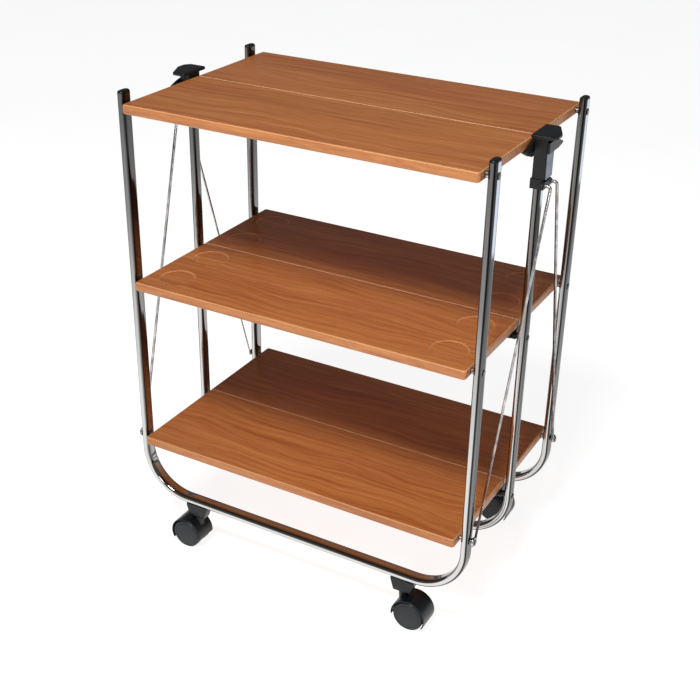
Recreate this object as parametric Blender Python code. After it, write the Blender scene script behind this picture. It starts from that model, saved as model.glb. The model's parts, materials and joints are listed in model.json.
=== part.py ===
"""Folding service trolley: three split shelves between three tube frames, on four castors.

Metres, +Z up. The origin is on the floor under the middle of the trolley. X runs along the
shelves, the front is at -Y. The folding axes all run along X. Every shelf is two halves: the
outer edge of a half turns on pins in an outer frame, and its inner edge turns with a bracket on
a pin in the middle frame, which carries the handles and rises when the trolley folds.
"""
from math import asin, atan2, cos, pi, sin, sqrt

import bmesh
import bpy
from mathutils import Vector

# ---------------------------------------------------------------- driving dimensions
SHELF_LENGTH = 0.600
SHELF_DEPTH = 0.400
SHELF_THICKNESS = 0.016
SHELF_PITCH = 0.300
SHELF_LEVELS = ("bottom", "middle", "top")
SHELF_EDGE_ROUND = 0.0035
SHELF_SEAM_ROUND = 0.0008
SHELF_CORNER_RADIUS = 0.006
SEAM_GAP = 0.0010

RECESS_DIAMETER = 0.063
RECESS_DEPTH = 0.0015
RECESS_FROM_END = 0.050
RECESS_FROM_SEAM = 0.051
RECESS_SPACING = 0.097

TUBE_THICKNESS = 0.013
OUTER_TUBE_WIDTH = 0.024
MIDDLE_TUBE_WIDTH = 0.020
TUBE_WALL = 0.0012
BEND_RADIUS = 0.085
LEG_STRAIGHT = 0.004
FRAME_SET_BACK = 0.011
UPRIGHT_ABOVE_SHELF = 0.012
CAP_HEIGHT = 0.0035
CAP_PLUG_DEPTH = 0.012

SHELF_END_GAP = 0.0055
FOLD_CLEARANCE = 0.002
TOUCH_GAP = 0.0003

PIN_RADIUS = 0.0030
PIN_HEAD_RADIUS = 0.0055
PIN_HEAD_THICKNESS = 0.0012
PIN_SPACER_RADIUS = 0.0050
PIN_IN_SHELF = 0.022
ROD_SEAT_SHOULDER = 0.0022

BRACKET_EAR_RADIUS = 0.007
BRACKET_EAR_THICKNESS = 0.005
BRACKET_PLATE_THICKNESS = 0.003
BRACKET_PLATE_LENGTH = 0.030
BRACKET_PLATE_DEPTH = 0.030
BRACKET_FROM_SEAM = 0.004
BRACKET_INSET = 0.0010
BRACKET_PIN_HEAD_RADIUS = 0.0045

HANDLE_PLATE_TOP = 0.009
HANDLE_PLATE_THICKNESS = 0.0055
HANDLE_PLATE_HALF_WIDTH = 0.031
HANDLE_PLATE_NARROW = 0.023
HANDLE_PLATE_WIDE = 0.0385
HANDLE_PLATE_BROW = (0.030, 0.021, 0.004)
HANDLE_TO_SHELF = 0.0045
HANDLE_POST_LENGTH = 0.062
HANDLE_POST_HALF_WIDTH = 0.0145
HANDLE_OUTER_WALL = 0.0065
HANDLE_TUBE_STOP = 0.036
HANDLE_EDGE_ROUND = 0.0012

TRIGGER_HALF_SPAN = 0.042
TRIGGER_SHOULDER = 0.024
TRIGGER_TOP = 0.0050
TRIGGER_HEIGHT = 0.0170
TRIGGER_SHOULDER_DROP = 0.0040
TRIGGER_TIP_RISE = 0.0030
TRIGGER_TIP_THICKNESS = 0.0035
TRIGGER_TRAVEL = 0.008
TRIGGER_WING_THICKNESS = 0.0042
TRIGGER_WEB_HALF_WIDTH = 0.008
TRIGGER_WEB_HEIGHT = 0.0090
LATCH_STRIP_HALF_WIDTH = 0.013
LATCH_STRIP_THICKNESS = 0.0015

COLLAR_HEIGHT = 0.016
COLLAR_WALL = 0.0027
COLLAR_OUTER_WALL = 0.004
LUG_HALF_WIDTH = 0.019
LUG_REACH = 0.008
LUG_CLEAR_OF_TUBE = 0.001
ROD_HALF_SPACING = 0.013

WIRE_RADIUS = 0.0025
ROD_STAND_OFF = 0.0095
ROD_BEND_RADIUS = 0.006

WHEEL_RADIUS = 0.027
WHEEL_HALF_TRACK = 0.0205
WEB_HALF_THICKNESS = 0.0038
WHEEL_TO_WEB = 0.0007
HOOD_WALL = 0.0022
HOOD_TO_WHEEL = 0.0018
HOOD_TRAILING_ANGLE = 30.0
HOOD_LEADING_ANGLE = 8.0
CASTOR_TRAIL = 0.018
AXLE_RADIUS = 0.003
NECK_RADIUS = 0.008
NECK_HEIGHT = 0.006
STEM_RADIUS = 0.004
STEM_HEAD_PAST_FLAT = 0.0005
STEM_HEAD_RADIUS = (OUTER_TUBE_WIDTH - TUBE_THICKNESS) / 2 + STEM_HEAD_PAST_FLAT
STEM_HEAD_THICKNESS = 0.0025
SOCKET_HEIGHT = 0.025
SOCKET_TOP_LENGTH = 0.043
SOCKET_BOTTOM_LENGTH = 0.031
SOCKET_TOP_WIDTH = 0.018
SOCKET_BOTTOM_WIDTH = 0.017
CASTOR_FROM_BEND = 0.020

# ---------------------------------------------------------------- worked-out places
UPRIGHT_X = SHELF_LENGTH / 2 + SHELF_END_GAP + TUBE_THICKNESS / 2
TUBE_OUTSIDE_X = UPRIGHT_X + TUBE_THICKNESS / 2
TUBE_INSIDE_X = UPRIGHT_X - TUBE_THICKNESS / 2
PIN_Y = SHELF_DEPTH / 2 - FRAME_SET_BACK - OUTER_TUBE_WIDTH / 2
OUTER_PIN_DROP = SHELF_THICKNESS / 2
CENTRE_PIN_DROP = SHELF_THICKNESS + MIDDLE_TUBE_WIDTH / 2 + FOLD_CLEARANCE
HOLE_RADIUS = PIN_RADIUS + TOUCH_GAP

HOOD_RADIUS = WHEEL_RADIUS + HOOD_TO_WHEEL + HOOD_WALL
SOCKET_BOTTOM_Z = WHEEL_RADIUS + HOOD_RADIUS + NECK_HEIGHT
RAIL_Z = SOCKET_BOTTOM_Z + SOCKET_HEIGHT + TOUCH_GAP + TUBE_THICKNESS / 2
BOTTOM_SHELF_Z = RAIL_Z + BEND_RADIUS + CENTRE_PIN_DROP + LEG_STRAIGHT
SHELF_Z = {level: BOTTOM_SHELF_Z + i * SHELF_PITCH for i, level in enumerate(SHELF_LEVELS)}
TOP_Z = SHELF_Z["top"]
CASTOR_X = UPRIGHT_X - BEND_RADIUS - CASTOR_FROM_BEND

POST_OUTER_X = TUBE_OUTSIDE_X + HANDLE_OUTER_WALL
POST_BOTTOM_Z = TOP_Z - HANDLE_POST_LENGTH
TOP_PIN_END_X = POST_OUTER_X - HANDLE_OUTER_WALL / 2
MIDDLE_TUBE_TOP_Z = TOP_Z - HANDLE_TUBE_STOP
TRIGGER_TOP_Z = TOP_Z - TRIGGER_TOP
TRIGGER_BOTTOM_Z = TRIGGER_TOP_Z - TRIGGER_HEIGHT
TRIGGER_WEB_TOP_Z = TRIGGER_BOTTOM_Z + TRIGGER_WEB_HEIGHT
COLLAR_TOP_Z = POST_BOTTOM_Z - TOUCH_GAP
COLLAR_BOTTOM_Z = COLLAR_TOP_Z - COLLAR_HEIGHT
ROD_TOP_Z = COLLAR_BOTTOM_Z + COLLAR_HEIGHT / 2
LUG_INNER_X = TUBE_OUTSIDE_X + LUG_CLEAR_OF_TUBE
LUG_OUTER_X = TUBE_OUTSIDE_X + LUG_REACH

ROUND_SIDES = 12
WHEEL_SIDES = 24
SMOOTH_ANGLE = 0.6

SIDES = {"left": -1, "right": 1}
ROWS = {"front": -1, "rear": 1}
# which way each castor trails at rest, along X
TRAILS = {("front", "left"): -1, ("front", "right"): 1, ("rear", "left"): 1, ("rear", "right"): 1}


# ---------------------------------------------------------------- helpers
def clear_scene():
    for old in list(bpy.data.objects):
        bpy.data.objects.remove(old, do_unlink=True)


def make_material(name, colour, roughness, metallic):
    material = bpy.data.materials.new(name)
    material.use_nodes = True
    shader = material.node_tree.nodes["Principled BSDF"]
    shader.inputs["Base Color"].default_value = (*colour, 1.0)
    shader.inputs["Roughness"].default_value = roughness
    shader.inputs["Metallic"].default_value = metallic
    material.diffuse_color = (*colour, 1.0)
    return material


def add_empty(name, place):
    empty = bpy.data.objects.new(name, None)
    empty.empty_display_size = 0.03
    empty.location = place
    bpy.context.collection.objects.link(empty)
    return empty


def add_object(name, bm, material, origin=(0, 0, 0), parent=None):
    """Link a mesh built in world places as an object whose own origin is at origin."""
    bmesh.ops.recalc_face_normals(bm, faces=bm.faces)
    bmesh.ops.translate(bm, verts=bm.verts, vec=-Vector(origin))
    mesh = bpy.data.meshes.new(name)
    bm.to_mesh(mesh)
    bm.free()
    mesh.materials.append(material)
    mesh.shade_smooth()
    mesh.set_sharp_from_angle(angle=SMOOTH_ANGLE)
    piece = bpy.data.objects.new(name, mesh)
    bpy.context.collection.objects.link(piece)
    piece.location = origin
    if parent is not None:
        piece.parent = parent
        piece.location = Vector(origin) - parent.location
        if parent.parent is not None:
            piece.location -= parent.parent.location
    return piece


def boolean(piece, operation, bm, label):
    """Cut bm out of piece, or join it on."""
    tool = add_object(piece.name + label, bm, piece.data.materials[0])
    tool.hide_render = True
    tool.display_type = "WIRE"
    modifier = piece.modifiers.new(label, "BOOLEAN")
    modifier.operation = operation
    modifier.object = tool
    return tool


def add_rings(bm, rings, closed_ends=True):
    """Skin a list of rings of points, each with the same count, and close the two ends."""
    rows = [[bm.verts.new(point) for point in ring] for ring in rings]
    count = len(rows[0])
    for low, high in zip(rows, rows[1:]):
        for i in range(count):
            j = (i + 1) % count
            bm.faces.new((low[i], low[j], high[j], high[i]))
    if closed_ends:
        bm.faces.new(reversed(rows[0]))
        bm.faces.new(rows[-1])
    return rows


def add_box(bm, low, high):
    x0, y0, z0 = low
    x1, y1, z1 = high
    add_rings(bm, [[(x0, y0, z), (x1, y0, z), (x1, y1, z), (x0, y1, z)] for z in (z0, z1)])


def add_turned(bm, profile, centre, axis, sides=ROUND_SIDES):
    """A turned solid: profile is (distance along the axis, radius) from end to end."""
    u, v = {"x": ((0, 1, 0), (0, 0, 1)), "y": ((0, 0, 1), (1, 0, 0)), "z": ((1, 0, 0), (0, 1, 0))}[axis]
    u, v = Vector(u), Vector(v)
    along = u.cross(v)
    angles = [2 * pi * (i + 0.5) / sides for i in range(sides)]
    rings = []
    for distance, radius in profile:
        middle = Vector(centre) + along * distance
        rings.append([middle + radius * (u * cos(a) + v * sin(a)) for a in angles])
    add_rings(bm, rings)


def add_cylinder(bm, start, end, radius, centre, axis, sides=ROUND_SIDES):
    low, high = min(start, end), max(start, end)
    add_turned(bm, [(low, radius), (high, radius)], centre, axis, sides)


def stadium(thickness, width, steps=6):
    """Flat-oval outline: flats along the width, half circles at its two ends."""
    radius = thickness / 2
    reach = width / 2 - radius
    points = []
    for side in (1, -1):
        for i in range(steps + 1):
            angle = pi * i / steps
            points.append((side * radius * cos(angle), side * (reach + radius * sin(angle))))
    return points


def stadium_ring(x, z, thickness, width):
    return [(x + a, b, z) for a, b in stadium(thickness, width)]


def shift_y(rings, y):
    return [[(px, py + y, pz) for px, py, pz in ring] for ring in rings]


# ---------------------------------------------------------------- frames and caps
def frame_path(top_z):
    """Places and inward directions along a U frame, from the left top to the right top."""
    bend_steps = 7
    path = [((-UPRIGHT_X, top_z), (1, 0))]
    for i in range(bend_steps + 1):
        a = pi / 2 * i / bend_steps
        place = (-UPRIGHT_X + BEND_RADIUS * (1 - cos(a)), RAIL_Z + BEND_RADIUS * (1 - sin(a)))
        path.append((place, (cos(a), sin(a))))
    return path + [((-x, z), (-nx, nz)) for (x, z), (nx, nz) in reversed(path)]


def tube_rings(path, y, thickness, width):
    rings = []
    for (x, z), (nx, nz) in path:
        rings.append([(x + nx * a, y + b, z + nz * a) for a, b in stadium(thickness, width)])
    return rings


def build_frame(name, y, top_z, tube_width, pin_heights, with_castors, material, parent):
    """One U frame of flat-oval tube, open at its two tops, drilled for its pins and stems."""
    path = frame_path(top_z)
    bm = bmesh.new()
    outer = add_rings(bm, tube_rings(path, y, TUBE_THICKNESS, tube_width), closed_ends=False)
    inner_size = TUBE_THICKNESS - 2 * TUBE_WALL, tube_width - 2 * TUBE_WALL
    inner = add_rings(bm, tube_rings(path, y, *inner_size), closed_ends=False)
    for end in (0, -1):
        for i in range(len(outer[end])):
            j = (i + 1) % len(outer[end])
            bm.faces.new((outer[end][i], outer[end][j], inner[end][j], inner[end][i]))
    frame = add_object(name, bm, material, (0, y, RAIL_Z), parent)

    holes = bmesh.new()
    for side in SIDES.values():
        for z in pin_heights:
            add_cylinder(holes, -TUBE_THICKNESS, TUBE_THICKNESS, HOLE_RADIUS,
                         (side * UPRIGHT_X, y, z), "x", 10)
        if with_castors:
            add_cylinder(holes, -TUBE_THICKNESS, 0, STEM_RADIUS + TOUCH_GAP,
                         (side * CASTOR_X, y, RAIL_Z), "z", 10)
    boolean(frame, "DIFFERENCE", holes, "_holes")
    return frame


def build_cap(name, x, y, material, parent):
    """Plastic plug in the open top of an upright, with a low rounded top."""
    tube_top = TOP_Z + UPRIGHT_ABOVE_SHELF
    plug = 2 * (TUBE_WALL + TOUCH_GAP)
    seat = tube_top + TOUCH_GAP
    sections = (
        (tube_top - CAP_PLUG_DEPTH, plug),
        (seat, plug),
        (seat, 0.0),
        (seat + 0.6 * CAP_HEIGHT, 0.0),
        (seat + CAP_HEIGHT, 0.45 * TUBE_THICKNESS),
    )
    rings = [stadium_ring(x, z, TUBE_THICKNESS - less, OUTER_TUBE_WIDTH - less) for z, less in sections]
    bm = bmesh.new()
    add_rings(bm, shift_y(rings, y))
    return add_object(name, bm, material, (x, y, tube_top), parent)


# ---------------------------------------------------------------- shelves
def shelf_outline(row, edge_inset, seam_inset):
    """Outline of one shelf half, seen from above: two rounded outer corners, a square seam."""
    half_length = SHELF_LENGTH / 2 - edge_inset
    outer_y = SHELF_DEPTH / 2 - edge_inset
    seam_y = SEAM_GAP / 2 + seam_inset
    radius = SHELF_CORNER_RADIUS - edge_inset
    points = [(-half_length, seam_y), (half_length, seam_y)]
    for cx, start in ((half_length - radius, 0.0), (radius - half_length, pi / 2)):
        for i in range(5):
            a = start + pi / 2 * i / 4
            points.append((cx + radius * cos(a), outer_y - radius + radius * sin(a)))
    return [(x, row * y) for x, y in points]


def build_shelf_half(name, level, row, material, parent):
    """One moulded half board; its origin is on its outer hinge axis."""
    top = SHELF_Z[level]
    levels = []
    for i in range(3):
        a = pi / 4 * i
        levels.append((1 - cos(a), 1 - sin(a)))
    bm = bmesh.new()
    rings = []
    for rise, inset in levels:
        outline = shelf_outline(row, SHELF_EDGE_ROUND * inset, SHELF_SEAM_ROUND * inset)
        rings.append([(x, y, top - SHELF_THICKNESS + SHELF_EDGE_ROUND * rise) for x, y in outline])
    for rise, inset in reversed(levels):
        outline = shelf_outline(row, SHELF_EDGE_ROUND * inset, SHELF_SEAM_ROUND * inset)
        rings.append([(x, y, top - SHELF_EDGE_ROUND * rise) for x, y in outline])
    add_rings(bm, rings)
    pin_z = top - OUTER_PIN_DROP
    shelf = add_object(name, bm, material, (0, row * PIN_Y, pin_z), parent)

    holes = bmesh.new()
    end = SHELF_LENGTH / 2
    for side in SIDES.values():
        bore_end = end - PIN_IN_SHELF - TOUCH_GAP
        add_cylinder(holes, side * bore_end, side * (end + PIN_RADIUS), HOLE_RADIUS,
                     (0, row * PIN_Y, pin_z), "x", 10)
    boolean(shelf, "DIFFERENCE", holes, "_bores")

    if level == "middle":
        recesses = bmesh.new()
        for side in SIDES.values():
            for i in range(2):
                x = side * (end - RECESS_FROM_END)
                y = row * (RECESS_FROM_SEAM + i * RECESS_SPACING)
                rim = RECESS_DIAMETER / 2
                profile = [(-RECESS_DEPTH, rim - RECESS_DEPTH), (RECESS_DEPTH, rim + RECESS_DEPTH)]
                add_turned(recesses, profile, (x, y, top), "z", 24)
        boolean(shelf, "DIFFERENCE", recesses, "_recesses")
    return shelf


# ---------------------------------------------------------------- pins and brackets
def build_outer_pin(name, level, side, row, material, parent):
    """Stepped hinge pin: head outside the upright, spacer inside it, plain end in the shelf.

    The bottom pins are longer outside, where the brace rods hook on behind the head.
    """
    outside = TUBE_OUTSIDE_X + TOUCH_GAP
    inside = TUBE_INSIDE_X - TOUCH_GAP
    shelf_end = SHELF_LENGTH / 2
    profile = [
        (shelf_end - PIN_IN_SHELF, PIN_RADIUS),
        (shelf_end + TOUCH_GAP, PIN_RADIUS),
        (shelf_end + TOUCH_GAP, PIN_SPACER_RADIUS),
        (inside, PIN_SPACER_RADIUS),
        (inside, PIN_RADIUS),
    ]
    head_start = outside
    if level == "bottom":
        shoulder_end = outside + ROD_SEAT_SHOULDER - TOUCH_GAP
        head_start = shoulder_end + 2 * WIRE_RADIUS + 2 * TOUCH_GAP
        profile += [
            (outside, PIN_RADIUS),
            (outside, PIN_SPACER_RADIUS),
            (shoulder_end, PIN_SPACER_RADIUS),
            (shoulder_end, PIN_RADIUS),
        ]
    profile += [
        (head_start, PIN_RADIUS),
        (head_start, PIN_HEAD_RADIUS),
        (head_start + 0.5 * PIN_HEAD_THICKNESS, PIN_HEAD_RADIUS),
        (head_start + PIN_HEAD_THICKNESS, 0.6 * PIN_HEAD_RADIUS),
    ]
    centre = (0, row * PIN_Y, SHELF_Z[level] - OUTER_PIN_DROP)
    bm = bmesh.new()
    add_turned(bm, [(side * x, r) for x, r in profile], centre, "x", 10)
    return add_object(name, bm, material, (side * UPRIGHT_X, centre[1], centre[2]), parent)


def ear_outline(row, pin_z, plate_top):
    """Side view of a bracket ear: round about the pin, spreading up to the plate."""
    far = BRACKET_FROM_SEAM + BRACKET_PLATE_DEPTH
    points = [(BRACKET_FROM_SEAM, plate_top)]
    steps = 8
    for i in range(steps + 1):
        a = 0.42 * pi - 1.15 * pi * i / steps
        points.append((-BRACKET_EAR_RADIUS * cos(a), pin_z + BRACKET_EAR_RADIUS * sin(a)))
    points.append((far, plate_top - BRACKET_PLATE_THICKNESS))
    points.append((far, plate_top))
    return [(row * y, z) for y, z in points]


def build_bracket(name, level, side, row, material, parent):
    """Hinge bracket under a shelf half. The front one carries the pivot pin moulded into it.

    The pin passes through the rear bracket's ear and has a spacer between that and the upright.
    The top pins turn in the handle posts, the others in the middle uprights with a head outside.
    """
    pin_z = SHELF_Z[level] - CENTRE_PIN_DROP
    plate_top = SHELF_Z[level] - SHELF_THICKNESS - TOUCH_GAP
    rear_outer = SHELF_LENGTH / 2 - BRACKET_INSET
    rear_inner = rear_outer - BRACKET_EAR_THICKNESS
    front_outer = rear_inner - TOUCH_GAP
    front_inner = front_outer - BRACKET_EAR_THICKNESS
    ear = (front_inner, front_outer) if row < 0 else (rear_inner, rear_outer)
    bm = bmesh.new()
    outline = ear_outline(row, pin_z, plate_top)
    add_rings(bm, [[(side * x, y, z) for y, z in outline] for x in ear])
    bracket = add_object(name, bm, material, (side * front_outer, 0, pin_z), parent)

    plate = bmesh.new()
    near, far = sorted((row * BRACKET_FROM_SEAM, row * (BRACKET_FROM_SEAM + BRACKET_PLATE_DEPTH)))
    plate_ends = sorted((side * (front_inner - BRACKET_PLATE_LENGTH), side * (ear[0] + TOUCH_GAP)))
    low = (plate_ends[0], near + TOUCH_GAP, plate_top - BRACKET_PLATE_THICKNESS)
    high = (plate_ends[1], far - TOUCH_GAP, plate_top)
    add_box(plate, low, high)
    boolean(bracket, "UNION", plate, "_plate")

    centre = (0, 0, pin_z)
    if row < 0:
        outside = TUBE_OUTSIDE_X + TOUCH_GAP
        profile = [
            (front_inner + TOUCH_GAP, PIN_RADIUS),
            (rear_outer + TOUCH_GAP, PIN_RADIUS),
            (rear_outer + TOUCH_GAP, PIN_SPACER_RADIUS),
            (TUBE_INSIDE_X - TOUCH_GAP, PIN_SPACER_RADIUS),
            (TUBE_INSIDE_X - TOUCH_GAP, PIN_RADIUS),
        ]
        if level == "top":
            profile += [(TOP_PIN_END_X, PIN_RADIUS)]
        else:
            profile += [
                (outside, PIN_RADIUS),
                (outside, BRACKET_PIN_HEAD_RADIUS),
                (outside + 0.5 * PIN_HEAD_THICKNESS, BRACKET_PIN_HEAD_RADIUS),
                (outside + PIN_HEAD_THICKNESS, 0.6 * BRACKET_PIN_HEAD_RADIUS),
            ]
        pin = bmesh.new()
        add_turned(pin, [(side * x, r) for x, r in profile], centre, "x", 10)
        boolean(bracket, "UNION", pin, "_pin")
    else:
        bore = bmesh.new()
        ends = sorted((side * (ear[0] - PIN_RADIUS), side * (ear[1] + PIN_RADIUS)))
        add_cylinder(bore, ends[0], ends[1], HOLE_RADIUS, centre, "x", 10)
        boolean(bracket, "DIFFERENCE", bore, "_bore")
    return bracket


# ---------------------------------------------------------------- handles, triggers, collars
def mirrored_box(bm, side, x_range, y_range, z_range):
    x0, x1 = sorted((side * x_range[0], side * x_range[1]))
    add_box(bm, (x0, y_range[0], z_range[0]), (x1, y_range[1], z_range[1]))


def build_handle(name, side, material, parent):
    """Palm plate and post in one moulding, pushed over the top of a middle upright."""
    inner = SHELF_LENGTH / 2 + HANDLE_TO_SHELF
    half_width = HANDLE_PLATE_HALF_WIDTH
    reach, brow_y, bend_y = HANDLE_PLATE_BROW
    outline = [
        (inner, half_width), (inner, -half_width), (inner + reach, -half_width),
        (inner + HANDLE_PLATE_WIDE, -brow_y), (inner + HANDLE_PLATE_WIDE, -bend_y),
        (inner + HANDLE_PLATE_NARROW, half_width),
    ]
    round_off = HANDLE_EDGE_ROUND
    bm = bmesh.new()
    centre_x = inner + HANDLE_PLATE_NARROW / 2
    rings = []
    plate_top = TOP_Z + HANDLE_PLATE_TOP
    plate_bottom = plate_top - HANDLE_PLATE_THICKNESS
    for z, less in ((plate_bottom, round_off), (plate_bottom + round_off, 0.0),
                    (plate_top - round_off, 0.0), (plate_top, round_off)):
        shrink = 1 - less / half_width
        rings.append([(side * (centre_x + (x - centre_x) * shrink), side * y * shrink, z)
                      for x, y in outline])
    add_rings(bm, rings)
    handle = add_object(name, bm, material, (side * UPRIGHT_X, 0, TOP_Z), parent)

    post = bmesh.new()
    half = HANDLE_POST_HALF_WIDTH
    mirrored_box(post, side, (TUBE_INSIDE_X, POST_OUTER_X), (-half, half),
                 (POST_BOTTOM_Z, TOP_Z + HANDLE_PLATE_TOP / 2))
    boolean(handle, "UNION", post, "_post")

    bore = bmesh.new()
    fit = 2 * TOUCH_GAP
    rings = [stadium_ring(side * UPRIGHT_X, z, TUBE_THICKNESS + fit, MIDDLE_TUBE_WIDTH + fit)
             for z in (POST_BOTTOM_Z - PIN_RADIUS, MIDDLE_TUBE_TOP_Z + TOUCH_GAP)]
    add_rings(bore, rings)
    boolean(handle, "DIFFERENCE", bore, "_bore")

    pin_hole = bmesh.new()
    add_cylinder(pin_hole, side * (TUBE_INSIDE_X - PIN_RADIUS), side * (TOP_PIN_END_X + TOUCH_GAP),
                 HOLE_RADIUS, (0, 0, TOP_Z - CENTRE_PIN_DROP), "x", 10)
    boolean(handle, "DIFFERENCE", pin_hole, "_pin_hole")

    slot = bmesh.new()
    slot_half = TRIGGER_WEB_HALF_WIDTH + TOUCH_GAP
    slot_z = (TRIGGER_BOTTOM_Z - TOUCH_GAP, TRIGGER_WEB_TOP_Z + TRIGGER_TRAVEL + TOUCH_GAP)
    mirrored_box(slot, side, (TUBE_INSIDE_X - PIN_RADIUS, POST_OUTER_X + PIN_RADIUS),
                 (-slot_half, slot_half), slot_z)
    boolean(handle, "DIFFERENCE", slot, "_slot")
    return handle


def build_trigger(name, side, material, parent):
    """Web through the post, a wing on its inner and its outer face, and a latch strip down the post."""
    inner_face = TUBE_INSIDE_X - TOUCH_GAP
    outer_face = POST_OUTER_X + TOUCH_GAP
    overlap = TRIGGER_WING_THICKNESS / 2
    web_half = TRIGGER_WEB_HALF_WIDTH
    bm = bmesh.new()
    mirrored_box(bm, side, (inner_face - overlap, outer_face + overlap), (-web_half, web_half),
                 (TRIGGER_BOTTOM_Z, TRIGGER_WEB_TOP_Z))
    trigger = add_object(name, bm, material, (side * UPRIGHT_X, 0, TRIGGER_TOP_Z), parent)

    tip = TRIGGER_HALF_SPAN
    shoulder = TRIGGER_SHOULDER
    tip_z = TRIGGER_BOTTOM_Z + TRIGGER_TIP_RISE
    outline = [
        (-HANDLE_POST_HALF_WIDTH, TRIGGER_BOTTOM_Z - TOUCH_GAP), (shoulder, TRIGGER_BOTTOM_Z - TOUCH_GAP),
        (tip, tip_z), (tip, tip_z + TRIGGER_TIP_THICKNESS),
        (shoulder, TRIGGER_TOP_Z - TRIGGER_SHOULDER_DROP), (-HANDLE_POST_HALF_WIDTH, TRIGGER_TOP_Z),
    ]
    wings = ((-1, inner_face - TRIGGER_WING_THICKNESS, "_inner_wing"), (1, outer_face, "_outer_wing"))
    for way, face, label in wings:
        wing = bmesh.new()
        add_rings(wing, [[(side * x, side * way * y, z) for y, z in outline]
                         for x in (face, face + TRIGGER_WING_THICKNESS)])
        boolean(trigger, "UNION", wing, label)

    half = LATCH_STRIP_HALF_WIDTH
    strip = bmesh.new()
    mirrored_box(strip, side, (outer_face, outer_face + LATCH_STRIP_THICKNESS), (-half, half),
                 (POST_BOTTOM_Z + TOUCH_GAP, TRIGGER_WEB_TOP_Z))
    boolean(trigger, "UNION", strip, "_strip")
    return trigger


def build_collar(name, side, material, parent):
    """Sliding collar on a middle upright, with a wide lug outside for the two brace rods."""
    bm = bmesh.new()
    half = MIDDLE_TUBE_WIDTH / 2 + TOUCH_GAP + COLLAR_WALL
    z_range = (COLLAR_BOTTOM_Z, COLLAR_TOP_Z)
    collar_x = (TUBE_INSIDE_X - TOUCH_GAP - COLLAR_WALL, TUBE_OUTSIDE_X + COLLAR_OUTER_WALL)
    mirrored_box(bm, side, collar_x, (-half, half), z_range)
    collar = add_object(name, bm, material, (side * UPRIGHT_X, 0, COLLAR_TOP_Z), parent)
    lug = bmesh.new()
    drop = COLLAR_HEIGHT / 8
    outline = [
        (-LUG_HALF_WIDTH, COLLAR_BOTTOM_Z + drop), (LUG_HALF_WIDTH, COLLAR_BOTTOM_Z + drop),
        (LUG_HALF_WIDTH, COLLAR_TOP_Z - 2 * drop), (half, COLLAR_TOP_Z - drop),
        (-half, COLLAR_TOP_Z - drop), (-LUG_HALF_WIDTH, COLLAR_TOP_Z - 2 * drop),
    ]
    add_rings(lug, [[(side * x, y, z) for y, z in outline] for x in (LUG_INNER_X, LUG_OUTER_X)])
    boolean(collar, "UNION", lug, "_lug")
    bore = bmesh.new()
    fit = 2 * TOUCH_GAP
    rings = [stadium_ring(side * UPRIGHT_X, z, TUBE_THICKNESS + fit, MIDDLE_TUBE_WIDTH + fit)
             for z in (COLLAR_BOTTOM_Z - PIN_RADIUS, COLLAR_TOP_Z + PIN_RADIUS)]
    add_rings(bore, rings)
    boolean(collar, "DIFFERENCE", bore, "_bore")
    return collar


# ---------------------------------------------------------------- brace rods
def rod_points(side, row):
    """Centreline of a brace rod: an open eye round the bottom pin, a long shank, a bent tip."""
    eye_y, eye_z = row * PIN_Y, SHELF_Z["bottom"] - OUTER_PIN_DROP
    top_y, top_z = row * ROD_HALF_SPACING, ROD_TOP_Z
    eye_x = TUBE_OUTSIDE_X + ROD_SEAT_SHOULDER + TOUCH_GAP + WIRE_RADIUS
    shank_x = LUG_OUTER_X + ROD_STAND_OFF
    eye_radius = PIN_RADIUS + TOUCH_GAP + WIRE_RADIUS
    span = sqrt((top_y - eye_y) ** 2 + (top_z - eye_z) ** 2)
    # angle of the shank in the YZ plane, turned a little so that it is tangent to the eye
    shank_angle = atan2(top_z - eye_z, top_y - eye_y) + row * asin(eye_radius / span)
    points = []
    eye_steps = 9
    start = shank_angle + row * pi
    for i in range(eye_steps + 1):
        a = start + row * pi / 2 - row * 1.5 * pi * (1 - i / eye_steps) + pi
        points.append((eye_x, eye_y + eye_radius * cos(a), eye_z + eye_radius * sin(a)))
    tangent = Vector(points[-1])
    top = Vector((shank_x, top_y, top_z))
    along = (top - tangent).normalized()
    inward = Vector((-1, 0, 0))
    bend_start = top - along * ROD_BEND_RADIUS
    bend_steps = 4
    for i in range(bend_steps + 1):
        t = i / bend_steps
        bend_end = top + inward * ROD_BEND_RADIUS
        points.append(bend_start * (1 - t) ** 2 + 2 * t * (1 - t) * top + bend_end * t ** 2)
    points.append(Vector((LUG_OUTER_X + TOUCH_GAP, top_y, top_z)))
    return [Vector((side * p[0], p[1], p[2])) for p in points]


def build_rod(name, side, row, material, parent):
    """Brace rod of round wire; its origin is on the bottom pin that it turns on."""
    origin = Vector((side * TUBE_OUTSIDE_X, row * PIN_Y, SHELF_Z["bottom"] - OUTER_PIN_DROP))
    curve = bpy.data.curves.new(name, "CURVE")
    curve.dimensions = "3D"
    curve.bevel_depth = WIRE_RADIUS
    curve.bevel_resolution = 2
    curve.use_fill_caps = True
    points = rod_points(side, row)
    spline = curve.splines.new("POLY")
    spline.points.add(len(points) - 1)
    for target, point in zip(spline.points, points):
        target.co = (*(point - origin), 1.0)
    curve.materials.append(material)
    rod = bpy.data.objects.new(name, curve)
    bpy.context.collection.objects.link(rod)
    rod.parent = parent
    rod.location = origin - parent.location
    if parent.parent is not None:
        rod.location -= parent.parent.location
    return rod


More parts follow.
